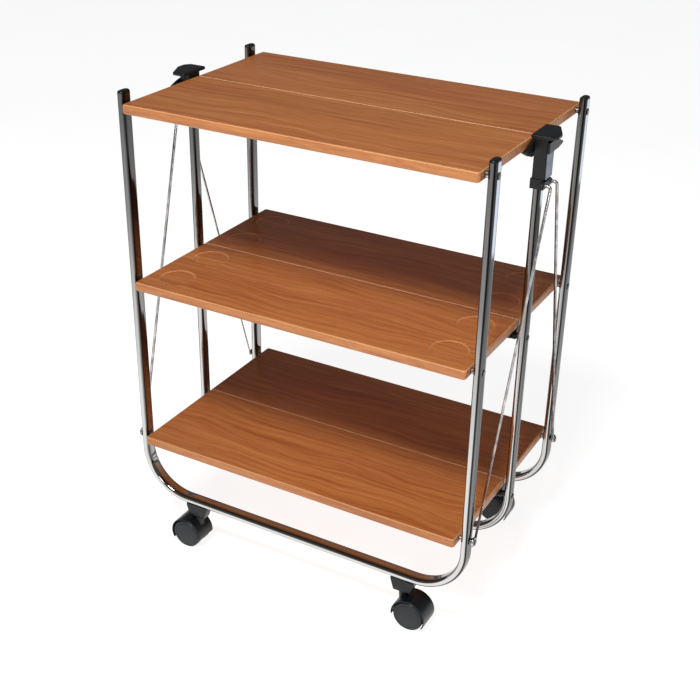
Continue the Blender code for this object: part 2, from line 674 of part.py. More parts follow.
# ---------------------------------------------------------------- castors
def build_castor(corner, side, row, materials, parent):
    """Socket under the rail, hood with its stem, and the pair of wheels on their axle."""
    x, y = side * CASTOR_X, row * PIN_Y
    trail = TRAILS[(("front", "rear")[row > 0], ("left", "right")[side > 0])]
    wheel_x = x + trail * CASTOR_TRAIL
    axle = (wheel_x, y, WHEEL_RADIUS)

    bm = bmesh.new()
    rings = []
    sizes = ((SOCKET_BOTTOM_Z, SOCKET_BOTTOM_LENGTH, SOCKET_BOTTOM_WIDTH),
             (SOCKET_BOTTOM_Z + SOCKET_HEIGHT, SOCKET_TOP_LENGTH, SOCKET_TOP_WIDTH))
    for z, length, width in sizes:
        a, b = length / 2, width / 2
        rings.append([(x - a, y - b, z), (x + a, y - b, z), (x + a, y + b, z), (x - a, y + b, z)])
    add_rings(bm, rings)
    socket = add_object("castor_socket_" + corner, bm, materials["black"], (x, y, SOCKET_BOTTOM_Z), parent)
    bore = bmesh.new()
    add_cylinder(bore, -PIN_RADIUS, SOCKET_HEIGHT + PIN_RADIUS, STEM_RADIUS + TOUCH_GAP,
                 (x, y, SOCKET_BOTTOM_Z), "z", 10)
    boolean(socket, "DIFFERENCE", bore, "_bore")

    outline = []
    low, high = -HOOD_TRAILING_ANGLE, 180 + HOOD_LEADING_ANGLE
    steps = 14
    for i in range(steps + 1):
        a = (low + (high - low) * i / steps) * pi / 180
        outline.append((wheel_x + trail * HOOD_RADIUS * cos(a), WHEEL_RADIUS + HOOD_RADIUS * sin(a)))
    bm = bmesh.new()
    add_rings(bm, [[(px, y + b, pz) for px, pz in outline] for b in (-WHEEL_HALF_TRACK, WHEEL_HALF_TRACK)])
    hood = add_object("castor_hood_" + corner, bm, materials["black"], (x, y, SOCKET_BOTTOM_Z), parent)
    stem = bmesh.new()
    neck_top = SOCKET_BOTTOM_Z - TOUCH_GAP
    rail_floor = RAIL_Z - TUBE_THICKNESS / 2 + TUBE_WALL + TOUCH_GAP
    profile = [
        (WHEEL_RADIUS + 0.5 * HOOD_RADIUS, NECK_RADIUS),
        (neck_top, NECK_RADIUS),
        (neck_top, STEM_RADIUS),
        (rail_floor, STEM_RADIUS),
        (rail_floor, STEM_HEAD_RADIUS),
        (rail_floor + 0.5 * STEM_HEAD_THICKNESS, STEM_HEAD_RADIUS),
        (rail_floor + STEM_HEAD_THICKNESS, 0.5 * STEM_HEAD_RADIUS),
    ]
    add_turned(stem, profile, (x, y, 0), "z", 10)
    boolean(hood, "UNION", stem, "_stem")
    pockets = bmesh.new()
    pocket_radius = WHEEL_RADIUS + HOOD_TO_WHEEL
    for way in (-1, 1):
        add_cylinder(pockets, way * WEB_HALF_THICKNESS, way * (WHEEL_HALF_TRACK + AXLE_RADIUS),
                     pocket_radius, axle, "y", 24)
    boolean(hood, "DIFFERENCE", pockets, "_pockets")
    axle_hole = bmesh.new()
    reach = WEB_HALF_THICKNESS + TOUCH_GAP
    add_cylinder(axle_hole, -reach, reach, AXLE_RADIUS + TOUCH_GAP, axle, "y", 10)
    boolean(hood, "DIFFERENCE", axle_hole, "_axle_hole")

    inner = WEB_HALF_THICKNESS + WHEEL_TO_WEB
    face = WHEEL_HALF_TRACK - TOUCH_GAP
    # the rim's flats, not its corners, touch the floor
    rim = WHEEL_RADIUS / cos(pi / WHEEL_SIDES)
    half = [
        (inner, AXLE_RADIUS),
        (inner, 0.94 * rim),
        (inner + 0.15 * (face - inner), rim),
        (inner + 0.80 * (face - inner), rim),
        (face, 0.92 * rim),
    ]
    profile = [(-d, r) for d, r in reversed(half)] + half
    bm = bmesh.new()
    add_turned(bm, profile, axle, "y", WHEEL_SIDES)
    wheels = add_object("castor_wheels_" + corner, bm, materials["wheel"], axle, parent)
    return socket, hood, wheels


# ---------------------------------------------------------------- the trolley
def build_trolley():
    clear_scene()
    chrome = make_material("chromed_tube", (0.62, 0.62, 0.63), 0.10, 1.0)
    steel = make_material("plated_steel", (0.50, 0.50, 0.52), 0.25, 1.0)
    wood = make_material("cherry_board", (0.45, 0.17, 0.06), 0.35, 0.0)
    black = make_material("black_plastic", (0.012, 0.012, 0.013), 0.35, 0.0)
    wheel = make_material("wheel_plastic", (0.018, 0.018, 0.020), 0.45, 0.0)
    materials = {"black": black, "wheel": wheel}

    bodies = {
        -1: add_empty("front_body", (0, -PIN_Y, RAIL_Z)),
        0: add_empty("middle_body", (0, 0, RAIL_Z)),
        1: add_empty("rear_body", (0, PIN_Y, RAIL_Z)),
    }
    outer_pins = [SHELF_Z[level] - OUTER_PIN_DROP for level in SHELF_LEVELS]
    centre_pins = [SHELF_Z[level] - CENTRE_PIN_DROP for level in SHELF_LEVELS if level != "top"]
    outer_top = TOP_Z + UPRIGHT_ABOVE_SHELF

    build_frame("middle_frame", 0, MIDDLE_TUBE_TOP_Z, MIDDLE_TUBE_WIDTH, centre_pins, False, chrome,
                bodies[0])
    for row_name, row in ROWS.items():
        body = bodies[row]
        build_frame(row_name + "_frame", row * PIN_Y, outer_top, OUTER_TUBE_WIDTH, outer_pins, True, chrome,
                    body)
        for level in SHELF_LEVELS:
            build_shelf_half(f"{level}_shelf_{row_name}", level, row, wood, body)
        for side_name, side in SIDES.items():
            corner = f"{row_name}_{side_name}"
            build_cap("cap_" + corner, side * UPRIGHT_X, row * PIN_Y, black, body)
            build_castor(corner, side, row, materials, body)
            build_rod("rod_" + corner, side, row, steel, body)
            for level in SHELF_LEVELS:
                build_outer_pin(f"{level}_pin_{corner}", level, side, row, steel, body)
                build_bracket(f"{level}_bracket_{corner}", level, side, row, black, bodies[0])
    for side_name, side in SIDES.items():
        build_handle("handle_" + side_name, side, black, bodies[0])
        build_trigger("trigger_" + side_name, side, black, bodies[0])
        build_collar("collar_" + side_name, side, black, bodies[0])


build_trolley()
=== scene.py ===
# %% [markdown]
# # A folding serving trolley
#
# This lesson dresses a finished mechanical model. The model arrives as a fixed frame: every node
# already sits where it belongs, and it moves with a named body. Here each node gets a finer mesh
# or a better finish, and nothing is moved or resized. The trolley has three split wood-look
# shelves, chromed flat-oval tube, black moulded plastic and bright wire.

# %% Load the frame
import json
from math import atan2, cos, hypot, pi, radians, sin

import bmesh
import bpy
from mathutils import Matrix, Vector


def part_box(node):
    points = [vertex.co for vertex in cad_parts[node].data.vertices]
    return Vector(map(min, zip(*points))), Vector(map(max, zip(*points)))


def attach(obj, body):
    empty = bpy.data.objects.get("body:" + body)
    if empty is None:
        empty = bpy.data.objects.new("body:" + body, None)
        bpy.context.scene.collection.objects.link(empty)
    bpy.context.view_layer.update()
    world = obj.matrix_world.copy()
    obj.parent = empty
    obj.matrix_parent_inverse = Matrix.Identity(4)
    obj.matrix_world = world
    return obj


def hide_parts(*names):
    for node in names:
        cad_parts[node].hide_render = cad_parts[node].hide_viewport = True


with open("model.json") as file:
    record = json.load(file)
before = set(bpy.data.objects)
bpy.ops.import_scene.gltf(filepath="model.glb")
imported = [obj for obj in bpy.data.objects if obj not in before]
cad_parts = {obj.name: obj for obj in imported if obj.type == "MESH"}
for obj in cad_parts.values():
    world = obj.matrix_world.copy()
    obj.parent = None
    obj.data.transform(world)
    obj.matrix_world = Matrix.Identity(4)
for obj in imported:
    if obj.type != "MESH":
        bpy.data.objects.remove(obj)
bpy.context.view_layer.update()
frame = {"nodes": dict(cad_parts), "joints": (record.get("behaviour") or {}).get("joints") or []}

# %% [markdown]
# ## Reading sizes off the frame
#
# Sizes come from the boxes of the nodes, so a finish always fits the part that is under it.
# A few shop sizes cannot be read from a box, such as the bend radius of the tube. They are named
# once here, in metres.

# %% Sizes of the trolley
LEVELS = ("bottom", "middle", "top")
ROWS = {"front": -1, "rear": 1}
SIDES = {"left": -1, "right": 1}

BEND_RADIUS = 0.085
TUBE_WALL = 0.0012
WIRE_RADIUS = 0.0025
GAP = 0.0003


def size(node):
    low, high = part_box(node)
    return high - low


def middle(node):
    low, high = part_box(node)
    return (low + high) / 2


shelf_top = {level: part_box(f"{level}_shelf_front")[1].z for level in LEVELS}
shelf_thickness = size("top_shelf_front").z
shelf_half_length = size("top_shelf_front").x / 2
seam_half_gap = -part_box("top_shelf_front")[1].y
shelf_half_depth = -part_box("top_shelf_front")[0].y
tube_thickness = size("cap_front_left").x
tube_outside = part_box("front_frame")[1].x
tube_x = tube_outside - tube_thickness / 2
outer_width = size("front_frame").y
middle_width = size("middle_frame").y
rail_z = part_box("front_frame")[0].z + tube_thickness / 2
pin_y = abs(middle("front_frame").y)
print("shelves", round(2 * shelf_half_length, 4), "m long, tube", round(tube_thickness, 4), "m thick")

# %% [markdown]
# ## Shader maths that reads like maths
#
# Node graphs get hard to follow when every sum is three lines of code. This class wraps a socket
# and overloads the operators, so a mask can be written as `1 - grain * 0.5`. Every other node
# comes from one method, `node`, which takes the node's type, its settings and its inputs.


# %% A socket with operators
class Socket:
    def __init__(self, tree, socket):
        self.tree = tree
        self.socket = socket

    def math(self, operation, first, second=None):
        made = self.tree.nodes.new("ShaderNodeMath")
        made.operation = operation
        for place, value in enumerate((first, second)):
            if isinstance(value, Socket):
                self.tree.links.new(value.socket, made.inputs[place])
            elif value is not None:
                made.inputs[place].default_value = value
        return Socket(self.tree, made.outputs[0])

    def __add__(self, other):
        return self.math("ADD", self, other)

    def __radd__(self, other):
        return self.math("ADD", other, self)

    def __sub__(self, other):
        return self.math("SUBTRACT", self, other)

    def __rsub__(self, other):
        return self.math("SUBTRACT", other, self)

    def __mul__(self, other):
        return self.math("MULTIPLY", self, other)

    def __rmul__(self, other):
        return self.math("MULTIPLY", other, self)

    def __truediv__(self, other):
        return self.math("DIVIDE", self, other)

    def absolute(self):
        return self.math("ABSOLUTE", self)


print("sockets can now be added, subtracted, multiplied and divided")


# %% A finish: one material and its Principled shader
class Finish:
    def __init__(self, name, colour, roughness, metallic=0.0, **sockets):
        self.material = bpy.data.materials.new(name)
        self.material.use_nodes = True
        self.tree = self.material.node_tree
        self.shader = self.tree.nodes["Principled BSDF"]
        self.material.diffuse_color = (*colour, 1)
        self.put("Base Color", (*colour, 1))
        self.put("Roughness", roughness)
        self.put("Metallic", metallic)
        for socket, value in sockets.items():
            self.put(socket.replace("_", " "), value)

    def put(self, socket, value):
        if isinstance(value, Socket):
            self.tree.links.new(value.socket, self.shader.inputs[socket])
        else:
            self.shader.inputs[socket].default_value = value

    def node(self, kind, settings=None, inputs=None, output=0):
        made = self.tree.nodes.new(kind)
        for name, value in (settings or {}).items():
            if name == "stops":
                set_stops(made.color_ramp, value)
            else:
                setattr(made, name, value)
        for place, value in (inputs or {}).items():
            if isinstance(value, Socket):
                self.tree.links.new(value.socket, made.inputs[place])
            else:
                made.inputs[place].default_value = value
        return Socket(self.tree, made.outputs[output])

    def place(self, scale=(1, 1, 1), offset=(0, 0, 0)):
        """A point of the piece at rest, stretched and shifted."""
        point = self.node("ShaderNodeTexCoord", output=3)
        return self.node("ShaderNodeMapping", {"vector_type": "POINT"}, {0: point, 1: offset, 3: scale})

    def noise(self, point, scale, detail=3.0, roughness=0.5, distortion=0.0):
        settings = {"noise_dimensions": "3D"}
        inputs = {"Vector": point, "Scale": scale, "Detail": detail, "Roughness": roughness,
                  "Distortion": distortion}
        return self.node("ShaderNodeTexNoise", settings, inputs)

    def ramp(self, factor, stops):
        return self.node("ShaderNodeValToRGB", {"stops": stops}, {0: factor})

    def between(self, factor, first, second, blend="MIX"):
        settings = {"data_type": "RGBA", "blend_type": blend}
        return self.node("ShaderNodeMix", settings, {0: factor, 6: first, 7: second}, output=2)

    def bump(self, height, strength, distance):
        self.put("Normal", self.node("ShaderNodeBump", None,
                                     {"Height": height, "Strength": strength, "Distance": distance}))


def set_stops(ramp, stops):
    """Each stop is (position, grey) or (position, (r, g, b))."""
    while len(ramp.elements) < len(stops):
        ramp.elements.new(0.5)
    for element, (position, colour) in zip(ramp.elements, stops):
        element.position = position
        rgb = colour if isinstance(colour, tuple) else (colour,) * 3
        element.color = (*rgb, 1)


print("finishes are ready to be mixed")

# %% [markdown]
# ## The shelf board
#
# The boards are moulded fibreboard under a cherry-print foil. The print has long soft bands of
# colour, fine dark lines that wander along the length, and short dark pores. All three are noise
# that is stretched along X. Each shelf takes its own stretch of the print, by an offset. A painted
# highlight lightens the foil where it turns over a rounded edge: a mask on the slope of the
# surface mixes in a pale colour there. Where the two halves meet, a mask on the distance to the
# seam paints a pale highlight line.


# %% Cherry-print foil
def cherry_foil(level, number):
    finish = Finish(f"cherry_foil_{level}", (0.40, 0.14, 0.045), 0.36, Coat_Roughness=0.22,
                    Specular_IOR_Level=0.35)
    shift = (3.7 * number, 1.3 * number, 0)
    bands = finish.noise(finish.place((0.8, 9.0, 9.0), shift), 2.0, 2.0, 0.5, 0.3)
    wander = finish.noise(finish.place((2.2, 5.0, 5.0), shift), 2.0, 2.0)
    lines_at = finish.node("ShaderNodeVectorMath", {"operation": "ADD"},
                           {0: finish.place((3.6, 140, 140), shift),
                            1: finish.node("ShaderNodeCombineXYZ", None, {1: wander * 9.0})})
    lines = finish.noise(lines_at, 1.0, 5.0, 0.68)
    pores = finish.noise(finish.place((30, 1100, 1100), shift), 1.0, 1.0)
    print_tone = bands * 0.26 + lines * 0.74
    colour = finish.ramp(print_tone, (
        (0.28, (0.250, 0.066, 0.014)),
        (0.42, (0.355, 0.106, 0.024)),
        (0.52, (0.430, 0.145, 0.036)),
        (0.66, (0.520, 0.200, 0.058)),
    ))
    pore_mask = finish.ramp(pores, ((0.58, 0.0), (0.66, 1.0)))
    colour = finish.between(pore_mask * 0.34, colour, (0.20, 0.05, 0.012, 1))
    # Painted highlight: a mask on the slope of the surface mixes a pale colour into the rounded edges,
    # the edge faces and the dish walls.
    side = finish.node("ShaderNodeSeparateXYZ", None,
                       {0: finish.node("ShaderNodeTexCoord", output=1)}, output=2).absolute()
    edge = finish.ramp(side, ((0.0, 0.10), (0.50, 0.12), (0.74, 0.85), (0.90, 0.25), (0.985, 0.0)))
    colour = finish.between(edge, colour, (0.66, 0.38, 0.20, 1))
    # Painted highlight: a pale line along the seam, where the rounded edges of the two halves catch the
    # light.
    across = finish.node("ShaderNodeSeparateXYZ", None, {0: finish.place()}, output=1).absolute()
    seam = finish.ramp(across * 100, ((0.08, 1.0), (0.20, 0.0)))
    colour = finish.between(seam * 0.60, colour, (0.80, 0.48, 0.30, 1))
    finish.put("Base Color", colour)
    smear = finish.noise(finish.place((3, 9, 9), shift), 2.0, 3.0)
    finish.put("Roughness", 0.27 + smear * 0.14)
    finish.put("Coat Weight", 0.10 + smear * 0.10)
    finish.bump(lines * 0.7 + pores * 0.3, 0.08, 0.0003)
    return finish.material


cherry = {level: cherry_foil(level, number) for number, level in enumerate(LEVELS)}
print("mixed", len(cherry), "foils")

# %% [markdown]
# ## Chrome on a flat-oval tube
#
# Chrome has almost no colour of its own: it shows a room, squeezed into streaks that run along the
# tube. A plain studio gives it little to show, so the reflection is painted into the base colour.
# The tube carries two facts per point, stored when it is swept: how far round the section the
# point lies, and how far along the tube. A ramp over the first paints the dark and bright
# reflection streaks, and slow noise over the second lets them drift, as streaks do where a tube
# leans or bends. High up the tube sees less of the pale floor, so a ramp over height paints the
# streaks darker there, and a painted reflection of a cool window shows on the outer flat near the
# top.


# %% Chrome with painted reflection streaks
def painted_reflection_chrome(name, seed, wander=0.05):
    finish = Finish(name, (0.6, 0.6, 0.62), 0.07, 1.0)
    section = finish.node("ShaderNodeAttribute", {"attribute_name": "section"}, output=1)
    across, sideways, run = [finish.node("ShaderNodeSeparateXYZ", None, {0: section}, output=i)
                             for i in range(3)]
    around = finish.node("ShaderNodeMath", {"operation": "ARCTAN2"}, {0: sideways, 1: across}) / (2 * pi)
    along = finish.node("ShaderNodeCombineXYZ", None, {0: run, 1: seed})
    drift = finish.noise(along, 3.1, 1.0) - 0.5
    around = finish.node("ShaderNodeMath", {"operation": "FRACT"}, {0: around + drift * wander + 1.0})
    # Painted reflection: the ramp draws dark and bright streaks of a room into the base colour.
    painted_streaks = finish.ramp(around, PAINTED_REFLECTION_STREAKS)
    height = finish.node("ShaderNodeSeparateXYZ", None, {0: finish.place()}, output=2)
    # Painted shade: the reflection streaks get darker higher up the tube.
    painted_height_shade = finish.ramp(height + drift * 0.25, ((0.10, 1.0), (0.36, 0.95), (0.62, 0.34), (0.80, 0.22)))
    painted_streaks = finish.between(1.0, painted_streaks, painted_height_shade, "MULTIPLY")
    # Painted reflection: a cool window on the outer flat near the top.
    outer_face = finish.ramp(across, ((0.86, 0.0), (0.90, 1.0)))
    painted_window = finish.ramp(height + drift * 0.12, ((0.695, 0.0), (0.705, 1.0)))
    mask = finish.between(1.0, outer_face, painted_window, "MULTIPLY")
    painted_streaks = finish.between(mask, painted_streaks, (0.60, 0.68, 0.84, 1))
    cloud = finish.noise(finish.place((9, 9, 2.5)), 1.5, 2.0)
    tint = finish.between(cloud, (0.93, 0.97, 1.0, 1), (1.0, 0.96, 0.90, 1))
    finish.put("Base Color", finish.between(1.0, painted_streaks, tint, "MULTIPLY"))
    smudge = finish.noise(finish.place((30, 30, 12)), 1.0, 4.0)
    finish.put("Roughness", 0.045 + smudge * 0.07)
    return finish.material


PAINTED_REFLECTION_STREAKS = (
    (0.00, 0.02), (0.080, 0.02), (0.100, 0.24), (0.150, 0.18), (0.165, 0.02), (0.195, 0.04),
    (0.215, 0.62), (0.290, 0.66), (0.325, 0.34), (0.350, 0.10), (0.380, 0.06), (0.420, 0.34),
    (0.500, 0.46), (0.585, 0.36), (0.640, 0.08), (0.690, 0.50), (0.780, 0.62), (0.830, 0.05),
    (0.860, 0.24), (0.900, 0.03), (1.00, 0.02),
)
chrome = painted_reflection_chrome("tube_chrome", 0.0)
chrome_middle = painted_reflection_chrome("middle_tube_chrome", 4.0, 0.08)
print("chrome:", chrome.name, chrome_middle.name)


# %% [markdown]
# ## Small metal
#
# The wire rods, the rivets and the little bushes are plated steel. They are duller than the tube.
# The rivet heads are blackened, with a worn bright ring where the setting tool pressed.


# %% Plated steel and blackened rivets
def plated_steel(name, colour, roughness, grain):
    finish = Finish(name, colour, roughness, 1.0)
    cloud = finish.noise(finish.place((1, 1, 1)), grain, 3.0)
    dark = tuple(0.45 * c for c in colour)
    bright = tuple(min(1, 1.6 * c) for c in colour)
    finish.put("Base Color", finish.ramp(cloud, ((0.30, dark), (0.55, colour), (0.75, bright))))
    finish.put("Roughness", roughness * 0.8 + cloud * roughness * 0.5)
    finish.bump(cloud, 0.05, 0.0003)
    return finish.material


def rivet_black():
    finish = Finish("rivet_black", (0.03, 0.03, 0.032), 0.30, 0.9)
    round_centre = finish.node("ShaderNodeAttribute", {"attribute_name": "ring"}, output=2)
    worn = finish.noise(finish.place(), 900.0, 2.0)
    ring = finish.ramp(round_centre + (worn - 0.5) * 0.10, (
        (0.0, 0.45), (0.22, 0.40), (0.30, 0.02), (0.62, 0.025), (0.74, 0.30), (0.84, 0.05), (1.0, 0.03)))
    finish.put("Base Color", ring)
    finish.put("Roughness", 0.20 + worn * 0.2)
    return finish.material


wire_steel = plated_steel("wire_steel", (0.46, 0.45, 0.45), 0.22, 60.0)
bush_steel = plated_steel("bush_steel", (0.60, 0.57, 0.56), 0.18, 120.0)
latch_steel = plated_steel("latch_steel", (0.13, 0.16, 0.21), 0.30, 35.0)
rivet = rivet_black()
print("small metal mixed")


# %% [markdown]
# ## Black mouldings
#
# The handles, castors and caps are black plastic from moulds with a fine sparked texture. Fine
# noise in the bump gives that, and broad noise in the roughness gives the slightly greasy patches
# that hands leave. The castors run near the floor, so theirs is greyer and carries a little dust.


# %% Moulded plastic
def moulded(name, colour, roughness, texture, dust=0.0):
    finish = Finish(name, colour, roughness, Specular_IOR_Level=0.34)
    patch = finish.noise(finish.place(), 14.0, 3.0)
    fleck = finish.noise(finish.place(), texture, 2.0)
    light = tuple(min(1, 2.3 * c + 0.002) for c in colour)
    base = finish.ramp(patch, ((0.30, colour), (0.72, light)))
    if dust:
        height = finish.node("ShaderNodeSeparateXYZ", None, {0: finish.place()}, output=2)
        low_down = finish.ramp(height * 12, ((0.0, 1.0), (0.55, 0.0)))
        base = finish.between(low_down * patch * dust, base, (0.20, 0.19, 0.17, 1))
    finish.put("Base Color", base)
    finish.put("Roughness", roughness - 0.08 + patch * 0.16)
    finish.bump(fleck, 0.18, 0.00025)
    return finish.material


grip_black = moulded("grip_black", (0.0030, 0.0032, 0.0036), 0.40, 1500.0)
cap_black = moulded("cap_black", (0.0030, 0.0030, 0.0034), 0.34, 1800.0)
bracket_black = moulded("bracket_black", (0.0040, 0.0040, 0.0046), 0.42, 1400.0)
castor_black = moulded("castor_black", (0.0025, 0.0038, 0.0050), 0.34, 1600.0, 0.10)
wheel_black = moulded("wheel_black", (0.0035, 0.0052, 0.0070), 0.40, 1300.0, 0.14)
print("plastics mixed")

# %% [markdown]
# ## Mesh tools
#
# Nearly every piece here is a loft: a list of rings of points, skinned with faces. A turned piece
# is a loft of circles, a board is a loft of rounded outlines, and a bent tube is a loft along a
# path. Small radii on blocky pieces come from a Bevel modifier, which keeps the code short.


# %% Skin, turn and finish a piece
def skin(bm, rings, ends=True, material=0):
    rows = [[bm.verts.new(point) for point in ring] for ring in rings]
    count = len(rows[0])
    for low, high in zip(rows, rows[1:]):
        for i in range(count):
            j = (i + 1) % count
            face = bm.faces.new((low[i], low[j], high[j], high[i]))
            face.material_index = material
    if ends:
        for row in (list(reversed(rows[0])), rows[-1]):
            face = bm.faces.new(row)
            face.material_index = material
    return rows


AXES = {"x": ((0, 1, 0), (0, 0, 1)), "y": ((0, 0, 1), (1, 0, 0)), "z": ((1, 0, 0), (0, 1, 0))}


def turn(bm, profile, centre, axis, sides=32, material=0):
    """profile is (distance along the axis, radius), from end to end."""
    u, v = (Vector(way) for way in AXES[axis])
    along = u.cross(v)
    rings = []
    for distance, radius in profile:
        here = Vector(centre) + along * distance
        rings.append([here + radius * (u * cos(a) + v * sin(a))
                      for a in (2 * pi * i / sides for i in range(sides))])
    return skin(bm, rings, material=material)


def block(bm, low, high, material=0):
    x0, x1 = sorted((low[0], high[0]))
    y0, y1 = sorted((low[1], high[1]))
    z0, z1 = sorted((low[2], high[2]))
    skin(bm, [[(x0, y0, z), (x1, y0, z), (x1, y1, z), (x0, y1, z)] for z in (z0, z1)], material=material)


def piece(name, bm, materials, body, stands_for=(), sharp=35):
    """Make the object, shade it, and let it ride on its body."""
    bmesh.ops.recalc_face_normals(bm, faces=bm.faces)
    mesh = bpy.data.meshes.new(name)
    bm.to_mesh(mesh)
    bm.free()
    for material in materials:
        mesh.materials.append(material)
    mesh.shade_smooth()
    mesh.set_sharp_from_angle(angle=radians(sharp))
    made = bpy.data.objects.new(name, mesh)
    bpy.context.scene.collection.objects.link(made)
    return dress(made, body, stands_for)


def dress(made, body, stands_for=()):
    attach(made, body)
    if stands_for:
        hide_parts(*stands_for)
    return made


def soften(made, width, segments=3, angle=30):
    bevel = made.modifiers.new("edges", "BEVEL")
    bevel.width = width
    bevel.segments = segments
    bevel.limit_method = "ANGLE"
    bevel.angle_limit = radians(angle)
    bevel.harden_normals = True
    return made


print("mesh tools ready")

# %% [markdown]
# ## The three bent frames
#
# Each frame is one length of flat-oval tube, bent twice. The section is two flats joined by half
# circles. It is swept down one upright, round a bend, along the rail and up the other side. The
# sweep stores, for each point, how far round the section it lies and how far along the tube, which
# is what the chrome finish reads. The tube is a real tube: it has a wall, and it is open on top.


# %% Section and path of the tube
def flat_oval(thickness, width, arc_steps=10, flat_steps=4):
    """Points (outwards, sideways) round a flat-oval section, with the share of the way round."""
    radius = thickness / 2
    reach = width / 2 - radius
    points = []
    for side in (1, -1):
        for i in range(flat_steps):
            points.append((side * radius, side * reach * (i / flat_steps * 2 - 1)))
        for i in range(arc_steps):
            a = pi * i / arc_steps
            points.append((side * radius * cos(a), side * (reach + radius * sin(a))))
    lengths = [0.0]
    for (a0, b0), (a1, b1) in zip(points, points[1:] + points[:1]):
        lengths.append(lengths[-1] + hypot(a1 - a0, b1 - b0))
    whole = lengths[-1]
    start = flat_steps // 2
    return [(a, b, (length - lengths[start]) / whole) for (a, b), length in zip(points, lengths)]


def bent_path(top_z, bend_steps=20, straight_steps=6):
    """(place, outward way, distance along) from the left top to the right top, in the XZ plane."""
    start_z = rail_z + BEND_RADIUS
    half = [((-tube_x, top_z + (start_z - top_z) * i / straight_steps), (-1.0, 0.0))
            for i in range(straight_steps)]
    for i in range(bend_steps + 1):
        a = pi / 2 * i / bend_steps
        outwards = (-cos(a), -sin(a))
        bend_x = -tube_x + BEND_RADIUS * (1 - cos(a))
        half.append(((bend_x, start_z - BEND_RADIUS * sin(a)), outwards))
    path = half + [((-x, z), (-nx, nz)) for (x, z), (nx, nz) in reversed(half)]
    distance, points = 0.0, []
    for i, ((x, z), way) in enumerate(path):
        if i:
            (x0, z0), _ = path[i - 1]
            distance += hypot(x - x0, z - z0)
        points.append((x, z, way, distance))
    return points


print("section has", len(flat_oval(tube_thickness, outer_width)), "points, path", len(bent_path(0.8)))


# %% Sweep a frame
def bent_tube(node, body, material, y, width):
    top_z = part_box(node)[1].z
    path = bent_path(top_z)
    bm = bmesh.new()
    layer = bm.verts.layers.float_vector.new("section")
    skins = []
    for wall in (0.0, 2 * TUBE_WALL):
        section = flat_oval(tube_thickness - wall, width - wall)
        rings = [[(x + nx * a, y - b, z + nz * a) for a, b, share in section]
                 for x, z, (nx, nz), _ in path]
        rows = skin(bm, rings, ends=False)
        for row, (_, _, _, distance) in zip(rows, path):
            for vert, (_, _, share) in zip(row, section):
                vert[layer] = (cos(2 * pi * share), sin(2 * pi * share), distance)
        skins.append(rows)
    outer, inner = skins
    for end in (0, -1):
        for i in range(len(outer[end])):
            j = (i + 1) % len(outer[end])
            bm.faces.new((outer[end][i], outer[end][j], inner[end][j], inner[end][i]))
    return piece(node + "_tube", bm, [material], body, [node], 60)


tubes = [bent_tube(f"{row}_frame", f"{row}_frame_body", chrome, way * pin_y, outer_width)
         for row, way in ROWS.items()]
tubes.append(bent_tube("middle_frame", "middle_frame_body", chrome_middle, 0.0, middle_width))
print("swept", len(tubes), "frames of", len(tubes[0].data.vertices), "points each")

# %% [markdown]
# ## The caps
#
# A push-in cap closes each upright. It is a flat-oval button with a soft edge and a low dome. The
# plug below it is out of sight, but it is made, because the piece stands for the whole cap.


# %% Push-in caps
def oval_ring(x, y, z, thickness, width):
    return [(x + a, y + b, z) for a, b, _ in flat_oval(thickness, width)]


def cap(row, side):
    name = f"cap_{row}_{side}"
    low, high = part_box(name)
    x, y = SIDES[side] * tube_x, ROWS[row] * pin_y
    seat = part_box(f"{row}_frame")[1].z + GAP
    rise = high.z - seat
    plug = 2 * (TUBE_WALL + GAP)
    rings = [oval_ring(x, y, z, tube_thickness - plug, outer_width - plug) for z in (low.z, seat)]
    for i in range(9):
        t = i / 8
        less = 0.0002 + 0.0030 * (1 - cos(t * pi / 2)) + 0.0025 * t ** 4
        lift = seat + rise * sin(t * pi / 2)
        rings.append(oval_ring(x, y, lift, tube_thickness - 2 * less, outer_width - 2 * less))
    bm = bmesh.new()
    skin(bm, rings)
    return piece(name + "_button", bm, [cap_black], f"{row}_frame_body", [name], 50)


caps = [cap(row, side) for row in ROWS for side in SIDES]
print("made", len(caps), "caps")

# %% [markdown]
# ## The shelf boards
#
# A board half is a loft of rounded outlines. The long outer edge and the ends have a generous
# radius, the two outer corners are round in plan, and the edge at the seam has only a small
# chamfer. The middle shelf has shallow dishes that keep glasses in place. Their cutter is turned
# from an S-shaped profile, so that the rim rolls over softly, and a Weighted Normal modifier keeps
# the big flat face flat to the light.

# %% Outline of a half board
EDGE_ROUND = 0.0038
SEAM_ROUND = 0.0009
CORNER_RADIUS = 0.006


def board_outline(way, edge, seam):
    length, outer, inner = shelf_half_length - edge, shelf_half_depth - edge, seam_half_gap + seam
    radius = CORNER_RADIUS - edge
    points = [(-length + 0.002, inner), (length - 0.002, inner)]
    for centre_x, start in ((length - radius, 0.0), (radius - length, pi / 2)):
        for i in range(13):
            a = start + pi / 2 * i / 12
            points.append((centre_x + radius * cos(a), outer - radius + radius * sin(a)))
    points.insert(2, (length, inner + 0.002))
    points.append((-length, inner + 0.002))
    return [(x, way * y) for x, y in points]


def board(bm, top, way, steps=7):
    rings = []
    for i in range(steps + 1):
        a = pi / 2 * i / steps
        drawn_in, rise = 1 - sin(a), 1 - cos(a)
        outline = board_outline(way, EDGE_ROUND * drawn_in, SEAM_ROUND * drawn_in)
        rings.append([(x, y, top - shelf_thickness + EDGE_ROUND * rise) for x, y in outline])
    for i in range(steps + 1):
        a = pi / 2 * i / steps
        drawn_in, rise = 1 - cos(a), 1 - sin(a)
        outline = board_outline(way, EDGE_ROUND * drawn_in, SEAM_ROUND * drawn_in)
        rings.append([(x, y, top - EDGE_ROUND * rise) for x, y in outline])
    skin(bm, rings)


print("outline of", len(board_outline(1, 0, 0)), "points")

